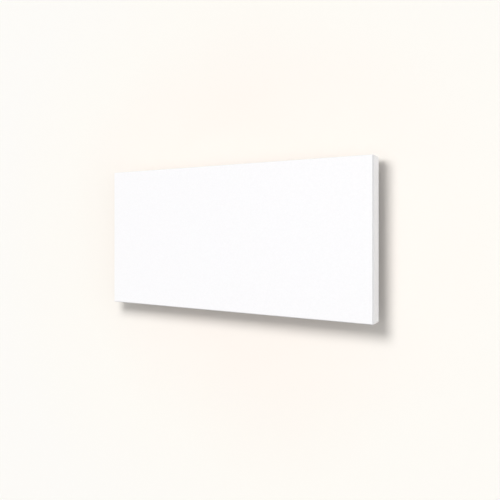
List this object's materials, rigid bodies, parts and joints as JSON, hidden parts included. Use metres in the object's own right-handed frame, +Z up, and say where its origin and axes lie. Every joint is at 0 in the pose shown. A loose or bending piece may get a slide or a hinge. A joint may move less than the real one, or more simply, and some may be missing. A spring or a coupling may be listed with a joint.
{
  "type": "infrared panel heater",
  "caption": "Slim wall-hung infrared panel heater: a plain white steel case over a heating film, hung by studs on a keyhole rail bracket.",
  "frame": {"origin": "on the wall plane, at the middle of the back face of the bracket's cross-bar", "axes": "+X to the right as seen from the room, +Y into the wall, +Z up"},
  "size_m": [0.6, 0.0561, 0.295],
  "materials": {
    "white_powder_coat": "fine-structure matt powder coat",
    "bracket_paint": "satin powder coat",
    "galvanised": "galvanised sheet",
    "zinc_fastener": "bright zinc plate",
    "film": "amber polyimide film",
    "track_foil": "etched alloy foil",
    "bright_foil": "bright rolled foil",
    "brass": "plain brass",
    "insulation": "pressed mineral wool board",
    "phenolic": "moulded phenolic",
    "black_plastic": "glass-filled moulding, fine spark texture",
    "block_nylon": "natural nylon",
    "seal_rubber": "moulded rubber",
    "brown_lead": "silicone insulation",
    "blue_lead": "silicone insulation"
  },
  "bodies": {
    "bracket": {"hanging_rail_left": "bracket_paint", "hanging_rail_right": "bracket_paint", "cross_bar": "bracket_paint", "bracket_rivet_1": "zinc_fastener", "bracket_rivet_2": "zinc_fastener", "bracket_rivet_3": "zinc_fastener", "bracket_rivet_4": "zinc_fastener"},
    "panel": {"front_tray": "white_powder_coat", "front_film": "film", "heating_track": "track_foil", "rear_film": "film", "track_tab_left": "brass", "track_tab_right": "brass", "reflector_foil": "bright_foil", "insulation_board": "insulation", "thermal_cutout": "phenolic", "cutout_strap": "zinc_fastener", "live_lead": "brown_lead", "link_lead": "brown_lead", "neutral_lead": "blue_lead", "rear_cover": "galvanised", "cover_screw_1": "zinc_fastener", "cover_screw_2": "zinc_fastener", "cover_screw_3": "zinc_fastener", "cover_screw_4": "zinc_fastener", "cover_screw_5": "zinc_fastener", "cover_screw_6": "zinc_fastener", "cover_screw_7": "zinc_fastener", "cover_screw_8": "zinc_fastener", "hanging_stud_1": "zinc_fastener", "hanging_stud_2": "zinc_fastener", "hanging_stud_3": "zinc_fastener", "hanging_stud_4": "zinc_fastener", "stud_spacer_1": "black_plastic", "stud_spacer_2": "black_plastic", "stud_spacer_3": "black_plastic", "stud_spacer_4": "black_plastic", "stud_nut_1": "zinc_fastener", "stud_nut_2": "zinc_fastener", "stud_nut_3": "zinc_fastener", "stud_nut_4": "zinc_fastener", "terminal_box_base": "black_plastic", "terminal_box_lid": "black_plastic", "lid_screw_1": "zinc_fastener", "lid_screw_2": "zinc_fastener", "terminal_block": "block_nylon", "block_screw_1": "zinc_fastener", "block_screw_2": "zinc_fastener", "block_screw_3": "zinc_fastener", "block_screw_4": "zinc_fastener", "lead_grommet": "seal_rubber", "earth_stud": "brass", "earth_washer": "zinc_fastener", "earth_nut": "brass", "inlet_seal": "seal_rubber", "inlet_nut": "black_plastic"}
  },
  "joints": [
    {"name": "panel_lift", "type": "slide", "parent": "bracket", "child": "panel", "axis": [0, 0, 1], "range_m": [0, 0.01]}
  ]
}
